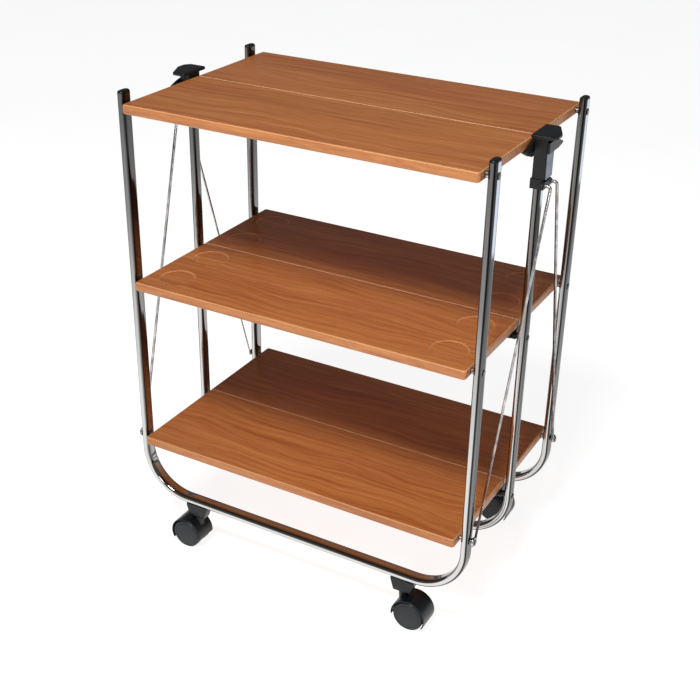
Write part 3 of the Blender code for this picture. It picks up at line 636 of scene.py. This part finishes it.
# %% Glass dishes
DISH_RADIUS = 0.0315
DISH_FLOOR = 0.0274
DISH_DEPTH = 0.0015
DISH_FROM_END = 0.050
DISH_FROM_SEAM = (0.051, 0.148)


def dish_profile():
    steps = 8
    profile = [(-DISH_DEPTH, 0.001)]
    for i in range(steps + 1):
        t = i / steps
        height = DISH_DEPTH * (0.5 - 0.5 * cos(pi * t) - 1)
        profile.append((height, DISH_FLOOR + (DISH_RADIUS - DISH_FLOOR) * t))
    return profile + [(0.002, DISH_RADIUS + 0.0004)]


def carve(made, cutter_mesh, angle):
    """Cut the shape away, and keep the result as a plain mesh."""
    bmesh.ops.recalc_face_normals(cutter_mesh, faces=cutter_mesh.faces)
    mesh = bpy.data.meshes.new("cutter")
    cutter_mesh.to_mesh(mesh)
    cutter_mesh.free()
    cutter = bpy.data.objects.new("cutter", mesh)
    bpy.context.scene.collection.objects.link(cutter)
    boolean = made.modifiers.new("cut", "BOOLEAN")
    boolean.operation = "DIFFERENCE"
    boolean.object = cutter
    bpy.context.view_layer.update()
    cut = bpy.data.meshes.new_from_object(made.evaluated_get(bpy.context.evaluated_depsgraph_get()))
    made.modifiers.clear()
    made.data = cut
    bpy.data.objects.remove(cutter, do_unlink=True)
    cut.shade_smooth()
    cut.set_sharp_from_angle(angle=radians(angle))


def cut_dishes(made, top, way):
    bm = bmesh.new()
    for side in SIDES.values():
        for reach in DISH_FROM_SEAM:
            centre = (side * (shelf_half_length - DISH_FROM_END), way * reach, top)
            turn(bm, dish_profile(), centre, "z", 56)
    carve(made, bm, 60)


def shelf_half(level, row):
    name = f"{level}_shelf_{row}"
    bm = bmesh.new()
    board(bm, shelf_top[level], ROWS[row])
    made = piece(name + "_board", bm, [cherry[level]], f"{level}_{row}_half", [name], 40)
    if level == "middle":
        cut_dishes(made, shelf_top[level], ROWS[row])
    weighted = made.modifiers.new("flat faces", "WEIGHTED_NORMAL")
    weighted.keep_sharp = True
    return made


boards = [shelf_half(level, row) for level in LEVELS for row in ROWS]
print("made", len(boards), "boards, the dished ones with", len(boards[2].data.polygons), "faces")

# %% [markdown]
# ## Hinge pins and rivets
#
# A stepped pin carries each outer corner of a board. From outside to inside it has a domed rivet
# head, a shank through the tube, a bright bush that keeps the board off the upright, and a plain
# end in the board. The head keeps a value from 0 at its centre to 1 at its rim, and the rivet
# finish reads it to draw the worn ring.


# %% Pins
RIVET_RISE = 0.0012
RIVET_RADIUS = 0.0055
MIDDLE_RIVET_RISE = 0.0013
MIDDLE_RIVET_RADIUS = 0.0047
SHANK_RADIUS = 0.003
WASHER_RADIUS = 0.005
WASHER_CHAMFER = 0.0004
WASHER_OUTSIDE = 0.0022


def rivet_head(bm, start, rise, radius, side, centre, layer):
    """A domed head from start outwards, with a pressed ring."""
    profile = [(0.0, 0.25), (0.0, 1.0), (0.30, 1.0), (0.55, 0.94), (0.80, 0.80), (0.74, 0.68),
               (0.86, 0.56), (0.98, 0.34), (1.0, 0.12)]
    rows = turn(bm, [(side * (start + rise * h), radius * r) for h, r in profile], centre, "x", 28)
    for row, (_, share) in zip(rows, profile):
        for vert in row:
            vert[layer] = share


def outer_pin(level, row, side):
    name = f"{level}_pin_{row}_{side}"
    low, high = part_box(name)
    way = SIDES[side]
    centre = (0, middle(name).y, middle(name).z)
    inner_end, head_end = sorted((abs(low.x), abs(high.x)))
    head_start = head_end - RIVET_RISE
    bm = bmesh.new()
    layer = bm.verts.layers.float.new("ring")
    rivet_head(bm, head_start, RIVET_RISE, RIVET_RADIUS, way, centre, layer)
    shank = [(inner_end, SHANK_RADIUS - 0.0002), (inner_end + 0.0004, SHANK_RADIUS),
             (head_start + 0.0002, SHANK_RADIUS)]
    turn(bm, [(way * x, r) for x, r in shank], centre, "x", 24, 1)
    bush = (shelf_half_length + GAP, tube_outside - tube_thickness - GAP)
    washers = [bush]
    if level == "bottom":
        washers.append((tube_outside + GAP, tube_outside + WASHER_OUTSIDE))
    for start, stop in washers:
        edge = WASHER_RADIUS - WASHER_CHAMFER
        washer = [(start, edge), (start + WASHER_CHAMFER, WASHER_RADIUS),
                  (stop - WASHER_CHAMFER, WASHER_RADIUS), (stop, edge)]
        turn(bm, [(way * x, r) for x, r in washer], centre, "x", 28, 1)
    return piece(name + "_rivet", bm, [rivet, bush_steel], f"{row}_frame_body", [name], 40)


pins = [outer_pin(level, row, side) for level in LEVELS for row in ROWS for side in SIDES]
print("made", len(pins), "outer pins")

# %% [markdown]
# ## Centre brackets
#
# Under each shelf end a pair of black brackets turns on one pin in the middle frame. Their plain
# shapes are right already, so a copy of each is taken, with a Bevel modifier for the moulded radii
# and its own finish. The pin's rivet head on the middle upright gets a fine head over it.


# %% Brackets and middle rivets
def bracket(level, row, side):
    name = f"{level}_bracket_{row}_{side}"
    bm = bmesh.new()
    bm.from_mesh(frame["nodes"][name].data)
    bm.transform(frame["nodes"][name].matrix_world)
    for face in bm.faces:
        face.material_index = 0
    made = piece(name + "_moulded", bm, [bracket_black], f"{level}_{row}_half", [name],
                 30)
    return soften(made, 0.0004, 2)


def middle_rivet(level, side):
    low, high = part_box(f"{level}_bracket_front_{side}")
    head_end = max(abs(low.x), abs(high.x)) + 0.0001
    pin = next(j for j in frame["joints"] if j["name"] == f"{level}_rear_fold")
    centre = (0, pin["pos_m"][1], pin["pos_m"][2])
    bm = bmesh.new()
    layer = bm.verts.layers.float.new("ring")
    rivet_head(bm, head_end - MIDDLE_RIVET_RISE, MIDDLE_RIVET_RISE, MIDDLE_RIVET_RADIUS, SIDES[side],
               centre, layer)
    return piece(f"{level}_middle_rivet_{side}", bm, [rivet], f"{level}_front_half", (), 40)


brackets = [bracket(level, row, side) for level in LEVELS for row in ROWS for side in SIDES]
middle_rivets = [middle_rivet(level, side) for level in ("bottom", "middle") for side in SIDES]
print(len(brackets), "brackets and", len(middle_rivets), "middle rivets")

# %% [markdown]
# ## Handles, triggers and collars
#
# A hand rests on the palm plate and pulls the trigger wings up with two fingers on each side of
# the post. The plate is a loft of one outline: straight towards the shelf, slanted outwards, and
# turned half round on the other end of the trolley. The loft draws in at top and bottom for a soft
# edge, and the top is crowned a little. The trigger is a web through a slot in the post with a
# paddle on each side of it. A latch strip runs down the outside of the post to the collar, which
# carries the brace rods.

# %% Palm plate and post
SHELF_TO_PLATE = 0.0045
PLATE_THICKNESS = 0.0055
PLATE_EDGE = 0.0016
PLATE_UNDER_EDGE = 0.00096
PLATE_CROWN = 0.0004
PLATE_CORNER = 0.0032
PLATE_NARROW = 0.023
PLATE_WIDE = 0.0385
POST_HALF = 0.0145
POST_OUTER_WALL = 0.0065
TRIGGER_WEB_HALF = 0.008
TRIGGER_WEB_HEIGHT = 0.009
TRIGGER_DEPTH = 0.017
TRIGGER_TRAVEL = 0.008

post_inside = tube_outside - tube_thickness
post_outside = tube_outside + POST_OUTER_WALL


def inset(points, distance):
    """Move every edge of a convex outline inwards."""
    lines = []
    for (x0, y0), (x1, y1) in zip(points, points[1:] + points[:1]):
        length = hypot(x1 - x0, y1 - y0)
        nx, ny = (y0 - y1) / length, (x1 - x0) / length
        lines.append((nx, ny, nx * x0 + ny * y0 + distance))
    result = []
    for (a, b, c), (d, e, f) in zip(lines[-1:] + lines[:-1], lines):
        spread = a * e - b * d
        result.append(((c * e - b * f) / spread, (a * f - c * d) / spread))
    return result


def rounded(points, radius, steps=6):
    """Round each corner of an outline."""
    result = []
    for before, corner, after in zip(points[-1:] + points[:-1], points, points[1:] + points[:1]):
        start, stop = (Vector(corner) + radius * (Vector(end) - Vector(corner)).normalized()
                       for end in (before, after))
        for i in range(steps + 1):
            t = i / steps
            point = start * (1 - t) ** 2 + Vector(corner) * 2 * t * (1 - t) + stop * t ** 2
            result.append((point.x, point.y))
    return result


def plate_outline():
    inner = shelf_half_length + SHELF_TO_PLATE
    half = size("handle_right").y / 2
    return [(inner, half), (inner, -half), (inner + 0.030, -half), (inner + PLATE_WIDE, -0.021),
            (inner + PLATE_WIDE, -0.004), (inner + PLATE_NARROW, half)]


def handle(side):
    name, way = f"handle_{side}", SIDES[side]
    low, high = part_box(name)
    plate_low = high.z - PLATE_THICKNESS
    levels = []
    for i in range(6):
        a = pi / 2 * i / 5
        rise, less = PLATE_UNDER_EDGE * (1 - cos(a)), PLATE_UNDER_EDGE * (1 - sin(a))
        levels.append((plate_low + rise, less + 0.00002))
    for i in range(6):
        a = pi / 2 * i / 5
        drop, less = PLATE_EDGE * (1 - sin(a)), PLATE_EDGE * (1 - cos(a))
        levels.append((high.z - PLATE_CROWN - drop, less + 0.00002))
    levels += [(high.z - 0.25 * PLATE_CROWN, 0.0045), (high.z, 0.0080)]
    bm = bmesh.new()
    skin(bm, [[(way * x, way * y, z) for x, y in rounded(inset(plate_outline(), less), PLATE_CORNER)]
              for z, less in levels])
    plate = piece(name + "_palm_plate", bm, [grip_black], "middle_frame_body", [name], 50)

    bm = bmesh.new()
    block(bm, (way * post_inside, -POST_HALF, low.z), (way * post_outside, POST_HALF, plate_low + 0.0008))
    post = piece(name + "_post", bm, [grip_black], "middle_frame_body", ())
    web_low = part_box(f"trigger_{side}")[1].z - TRIGGER_DEPTH
    slot_half, slot_top = TRIGGER_WEB_HALF + GAP, web_low + TRIGGER_WEB_HEIGHT + TRIGGER_TRAVEL + GAP
    bm = bmesh.new()
    block(bm, (way * (post_inside - 0.003), -slot_half, web_low - GAP),
          (way * (post_outside + 0.003), slot_half, slot_top))
    carve(post, bm, 35)
    soften(post, 0.0010)
    return plate, post


handles = [handle(side) for side in SIDES]
print("made", len(handles), "handles")


# %% Pin spots on the posts
def post_pin(side):
    way = SIDES[side]
    centre = (way * (tube_x + 0.001), 0, shelf_top["top"] - 0.034)
    bm = bmesh.new()
    reach = POST_HALF + 0.0004
    profile = [(-reach, 0.0008), (-reach + 0.0002, 0.0016), (reach - 0.0002, 0.0016), (reach, 0.0008)]
    turn(bm, profile, centre, "y", 20)
    return piece(f"post_pin_{side}", bm, [cap_black], "middle_frame_body", (), 40)


post_pins = [post_pin(side) for side in SIDES]
print("made", len(post_pins), "post pins")


# %% Trigger wings and latch strip
LATCH_HALF = 0.013
LATCH_THICKNESS = 0.0015
WING_THICKNESS = 0.0042
WING_TOP = ((-0.0145, 0.0), (0.004, -0.0001), (0.012, -0.0008), (0.019, -0.0023), (0.026, -0.0046),
            (0.033, -0.0072), (0.038, -0.0092), (0.0405, -0.0104), (0.042, -0.0118))
WING_UNDER = ((0.0415, -0.0132), (0.039, -0.0143), (0.034, -0.0152), (0.028, -0.0162), (0.022, -0.0169),
              (0.010, -0.0170), (-0.0145, -0.0170))


def trigger(side):
    name, way = f"trigger_{side}", SIDES[side]
    low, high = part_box(name)
    inner_face, outer_face = post_inside - GAP, post_outside + GAP
    bm = bmesh.new()
    for turned, face in ((-1, inner_face - WING_THICKNESS), (1, outer_face)):
        skin(bm, [[(way * x, way * turned * y, high.z + drop) for y, drop in WING_TOP + WING_UNDER]
                  for x in (face, face + WING_THICKNESS)])
    web_low = high.z - TRIGGER_DEPTH
    block(bm, (way * (inner_face - 0.002), -TRIGGER_WEB_HALF, web_low),
          (way * (outer_face + 0.002), TRIGGER_WEB_HALF, web_low + TRIGGER_WEB_HEIGHT))
    wings = piece(name + "_wings", bm, [grip_black], name + "_body", [name])
    soften(wings, 0.0011)

    bm = bmesh.new()
    block(bm, (way * outer_face, -LATCH_HALF, low.z),
          (way * (outer_face + LATCH_THICKNESS), LATCH_HALF, web_low + 0.001))
    strip = piece(name + "_latch_strip", bm, [latch_steel], name + "_body", ())
    soften(strip, 0.0004, 2)
    return wings, strip


triggers = [trigger(side) for side in SIDES]
print("made", len(triggers), "triggers")


# %% Collars
def collar(side):
    name, way = f"collar_{side}", SIDES[side]
    low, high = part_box(name)
    inside, outside = sorted((abs(low.x), abs(high.x)))
    half = middle_width / 2 + GAP + 0.0027
    bm = bmesh.new()
    block(bm, (way * inside, -half, low.z), (way * (tube_outside + 0.004), half, high.z))
    body = piece(name + "_block", bm, [grip_black], name + "_body", [name])
    soften(body, 0.0010)

    drop = size(name).z / 8
    outline = [(-high.y, low.z + drop), (high.y, low.z + drop), (high.y, high.z - 3 * drop),
               (half, high.z - drop), (-half, high.z - drop), (-high.y, high.z - 3 * drop)]
    bm = bmesh.new()
    skin(bm, [[(way * x, y, z) for y, z in outline] for x in (tube_outside + 0.001, outside)])
    lug = piece(name + "_lug", bm, [grip_black], name + "_body", ())
    soften(lug, 0.0012)
    return body, lug


collars = [collar(side) for side in SIDES]
print("made", len(collars), "collars")

# %% [markdown]
# ## The brace rods
#
# A brace rod is one wire: an open eye round the bottom pin, a long shank, and a bent tip that
# points into the lug of the collar. It is a curve with a round bevel, so the wire keeps its real
# thickness round every bend.


# %% Wire rods
ROD_HALF_SPACING = 0.013
ROD_STAND_OFF = 0.0095
ROD_BEND = 0.006
EYE_RADIUS = SHANK_RADIUS + GAP + WIRE_RADIUS


def rod_line(row, side):
    way = ROWS[row]
    pin = middle(f"bottom_pin_{row}_{side}")
    top_z = middle(f"collar_{side}").z
    lug = max(abs(x) for x in (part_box(f"collar_{side}")[0].x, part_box(f"collar_{side}")[1].x))
    eye_x = tube_outside + WASHER_OUTSIDE + GAP + WIRE_RADIUS
    top = Vector((lug + ROD_STAND_OFF, way * ROD_HALF_SPACING, top_z))
    span = hypot(top.y - pin.y, top.z - pin.z)
    shank = atan2(top.z - pin.z, top.y - pin.y) + way * EYE_RADIUS / span
    line = []
    for i in range(25):
        a = shank + way * pi / 2 - way * 1.5 * pi * (1 - i / 24)
        line.append(Vector((eye_x, pin.y + EYE_RADIUS * cos(a), pin.z + EYE_RADIUS * sin(a))))
    along = (top - line[-1]).normalized()
    bend_start = top - along * ROD_BEND
    bend_end = top + Vector((-ROD_BEND, 0, 0))
    for i in range(11):
        t = i / 10
        line.append(bend_start * (1 - t) ** 2 + 2 * t * (1 - t) * top + bend_end * t ** 2)
    line.append(Vector((lug + GAP, top.y, top.z)))
    return [Vector((SIDES[side] * p.x, p.y, p.z)) for p in line]


def rod(row, side):
    name = f"rod_{row}_{side}"
    curve = bpy.data.curves.new(name + "_wire", "CURVE")
    curve.dimensions = "3D"
    curve.bevel_depth = WIRE_RADIUS
    curve.bevel_resolution = 5
    curve.use_fill_caps = True
    line = rod_line(row, side)
    spline = curve.splines.new("POLY")
    spline.points.add(len(line) - 1)
    for target, point in zip(spline.points, line):
        target.co = (*point, 1)
    curve.materials.append(wire_steel)
    made = bpy.data.objects.new(name + "_wire", curve)
    bpy.context.scene.collection.objects.link(made)
    return dress(made, name + "_body", [name])


rods = [rod(row, side) for row in ROWS for side in SIDES]
print("bent", len(rods), "rods")

# %% [markdown]
# ## The castors
#
# Under the rail sits a tapered socket, and a stem turns in it. Below it a hood wraps over the twin
# wheels across their full width, with a web between them. The wheel faces are flush discs, softly
# domed, with a shallow ring near the rim.


# %% Sockets
SOCKET_BOTTOM_HALF = 0.0155
SOCKET_BOTTOM_WIDTH = 0.0085


def socket(row, side):
    name = f"castor_socket_{row}_{side}"
    low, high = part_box(name)
    x, y = middle(name).x, middle(name).y
    top_half, top_width = (high.x - low.x) / 2, (high.y - low.y) / 2
    bm = bmesh.new()
    sections = (
        (low.z, SOCKET_BOTTOM_HALF, SOCKET_BOTTOM_WIDTH),
        (low.z + 0.006, SOCKET_BOTTOM_HALF + 0.0016, SOCKET_BOTTOM_WIDTH + 0.0008),
        (high.z - 0.005, top_half, top_width),
        (high.z, top_half, top_width),
    )
    skin(bm, [[(x - a, y - b, z), (x + a, y - b, z), (x + a, y + b, z), (x - a, y + b, z)]
              for z, a, b in sections])
    made = piece(name + "_block", bm, [castor_black], f"{row}_frame_body", [name], 25)
    return soften(made, 0.0012)


sockets = [socket(row, side) for row in ROWS for side in SIDES]
print("made", len(sockets), "sockets")

# %% Hoods
HOOD_WALL = 0.0022
HOOD_TO_RIM = 0.004
HOOD_WEB_HALF = 0.0038
HOOD_LOW, HOOD_HIGH = -30.0, 188.0
NECK_RADIUS = 0.008
STEM_RADIUS = 0.0036

wheel_radius = middle("castor_wheels_front_left").z
hood_radius = wheel_radius + HOOD_TO_RIM


def hood_arc(centre_x, trail, radius, steps=44):
    return [(centre_x + trail * radius * cos(radians(a)), wheel_radius + radius * sin(radians(a)))
            for a in (HOOD_LOW + (HOOD_HIGH - HOOD_LOW) * i / steps for i in range(steps + 1))]


def hood(row, side):
    name = f"castor_hood_{row}_{side}"
    low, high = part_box(name)
    swivel = next(j["pos_m"] for j in frame["joints"] if j["name"] == f"castor_swivel_{row}_{side}")
    axle = next(j["pos_m"] for j in frame["joints"] if j["name"] == f"wheel_spin_{row}_{side}")
    trail = 1 if axle[0] > swivel[0] else -1
    y, half = axle[1], (high.y - low.y) / 2
    bm = bmesh.new()
    outside = hood_arc(axle[0], trail, hood_radius)
    inside = hood_arc(axle[0], trail, hood_radius - HOOD_WALL)
    skin(bm, [[(px, y + b, pz) for px, pz in outside + inside[::-1]] for b in (-half, half)])
    web = hood_arc(axle[0], trail, hood_radius - 0.5 * HOOD_WALL)
    skin(bm, [[(px, y + b, pz) for px, pz in web] for b in (-HOOD_WEB_HALF, HOOD_WEB_HALF)])
    made = piece(name + "_shell", bm, [castor_black], f"castor_{row}_{side}", [name], 40)
    soften(made, 0.0008, 3, 50)

    bm = bmesh.new()
    neck_top = swivel[2] - GAP
    neck = [(neck_top - 0.017, NECK_RADIUS - 0.001), (neck_top - 0.004, NECK_RADIUS),
            (neck_top - 0.0006, NECK_RADIUS), (neck_top, NECK_RADIUS - 0.0006)]
    turn(bm, neck, (swivel[0], swivel[1], 0), "z", 28)
    stem = [(neck_top - 0.001, STEM_RADIUS), (high.z - 0.0028, STEM_RADIUS),
            (high.z - 0.0026, STEM_RADIUS + 0.002), (high.z, STEM_RADIUS + 0.0004)]
    turn(bm, stem, (swivel[0], swivel[1], 0), "z", 20, 1)
    stem_piece = piece(name + "_stem", bm, [castor_black, bush_steel], f"castor_{row}_{side}", (),
                       40)
    return made, stem_piece


hoods = [hood(row, side) for row in ROWS for side in SIDES]
print("made", len(hoods), "hoods with stems")


# %% Twin wheels
WHEEL_TO_WEB = 0.0007


def wheels(row, side):
    name = f"castor_wheels_{row}_{side}"
    low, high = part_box(name)
    centre = middle(name)
    centre.z = wheel_radius
    face = (high.y - low.y) / 2
    inner = HOOD_WEB_HALF + WHEEL_TO_WEB
    wide = face - inner
    rim = wheel_radius
    bm = bmesh.new()
    for way in (-1, 1):
        profile = [
            (inner, 0.0040), (inner, 0.82 * rim), (inner + 0.0006, 0.91 * rim),
            (inner + 0.0020, 0.97 * rim), (inner + 0.0040, rim), (inner + 0.80 * wide, rim),
            (inner + 0.90 * wide, 0.984 * rim), (inner + 0.96 * wide, 0.952 * rim),
            (face - 0.0004, 0.91 * rim), (face - 0.0003, 0.82 * rim), (face - 0.0008, 0.80 * rim),
            (face - 0.0008, 0.776 * rim), (face - 0.0003, 0.756 * rim), (face - 0.0001, 0.48 * rim),
            (face, 0.0040), (face, 0.0005),
        ]
        turn(bm, [(way * d, r) for d, r in profile], centre, "y", 64)
    turn(bm, [(-inner - 0.001, 0.003), (inner + 0.001, 0.003)], centre, "y", 20)
    return piece(name + "_pair", bm, [wheel_black], f"wheels_{row}_{side}", [name], 30)


wheel_pairs = [wheels(row, side) for row in ROWS for side in SIDES]
print("made", len(wheel_pairs), "pairs of wheels")

# %% [markdown]
# ## Floor, light and camera
#
# The setting is a plain floor that glows a little, so it stays pale in the shadows. The main light
# is a soft box above the front, high enough that each shelf shades the back half of the shelf below
# it. Two weak lights, from the side and from the front, give the chrome something to show. The
# camera stands in front and to the right, above the top shelf.


# %% Floor and room
def pale_floor():
    bm = bmesh.new()
    reach = 14.0
    rows = [[bm.verts.new((x, y, -0.0005)) for x in (-reach, reach)] for y in (-reach, reach)]
    bm.faces.new((rows[0][0], rows[0][1], rows[1][1], rows[1][0]))
    mesh = bpy.data.meshes.new("floor")
    bm.to_mesh(mesh)
    bm.free()
    floor = bpy.data.objects.new("floor", mesh)
    bpy.context.scene.collection.objects.link(floor)
    finish = Finish("pale_floor", (0.40, 0.40, 0.40), 0.75, Specular_IOR_Level=0.1)
    mottle = finish.noise(finish.place(), 3.0, 2.0)
    finish.put("Base Color", finish.ramp(mottle, ((0.3, 0.38), (0.7, 0.42))))
    finish.put("Emission Color", (1.0, 1.0, 1.0, 1))
    finish.put("Emission Strength", 0.86)
    mesh.materials.append(finish.material)
    return floor


floor = pale_floor()
world = bpy.data.worlds.new("room")
bpy.context.scene.world = world
world.use_nodes = True
background = world.node_tree.nodes["Background"]
background.inputs[0].default_value = (0.93, 0.95, 1.0, 1)
background.inputs[1].default_value = 0.14
print("floor and room are pale and plain")


# %% Lights
def soft_box(name, place, target, wide, tall, power, colour=(1, 1, 1)):
    light = bpy.data.lights.new(name, "AREA")
    light.shape = "RECTANGLE"
    light.size = wide
    light.size_y = tall
    light.energy = power
    light.color = colour
    lamp = bpy.data.objects.new(name, light)
    lamp.location = place
    lamp.rotation_euler = (Vector(target) - Vector(place)).to_track_quat("-Z", "Y").to_euler()
    bpy.context.scene.collection.objects.link(lamp)
    return lamp


lamps = [
    soft_box("key", (0.25, -1.75, 2.95), (0, 0, 0.42), 0.9, 0.7, 82, (1.0, 0.985, 0.96)),
    soft_box("side", (2.4, -0.9, 1.5), (0, 0, 0.5), 0.4, 2.0, 7, (0.93, 0.96, 1.0)),
    soft_box("near", (0.7, -2.6, 1.3), (0, 0, 0.5), 0.6, 0.6, 9),
]
print("hung", len(lamps), "lights")


# %% Camera
def stand_camera(place, turn_left, look_down, tilt, lens):
    yaw, pitch, roll = radians(turn_left), radians(look_down), radians(tilt)
    ahead = Vector((-sin(yaw) * cos(pitch), cos(yaw) * cos(pitch), -sin(pitch)))
    right = ahead.cross(Vector((0, 0, 1))).normalized()
    up = right.cross(ahead)
    right, up = right * cos(roll) + up * sin(roll), up * cos(roll) - right * sin(roll)
    data = bpy.data.cameras.new("camera")
    data.lens = lens
    data.sensor_width = 36.0
    camera = bpy.data.objects.new("camera", data)
    camera.matrix_world = Matrix.Translation(place) @ Matrix((right, up, -ahead)).transposed().to_4x4()
    bpy.context.scene.collection.objects.link(camera)
    bpy.context.scene.camera = camera
    return camera


camera = stand_camera((0.8745, -1.5964, shelf_top["top"] + 0.5199), 28.714, 27.693, 1.074, 61.13)
bpy.context.scene.view_settings.view_transform = "Standard"
print("camera at", tuple(round(v, 3) for v in camera.location))

# %% Update the scene
bpy.context.view_layer.update()
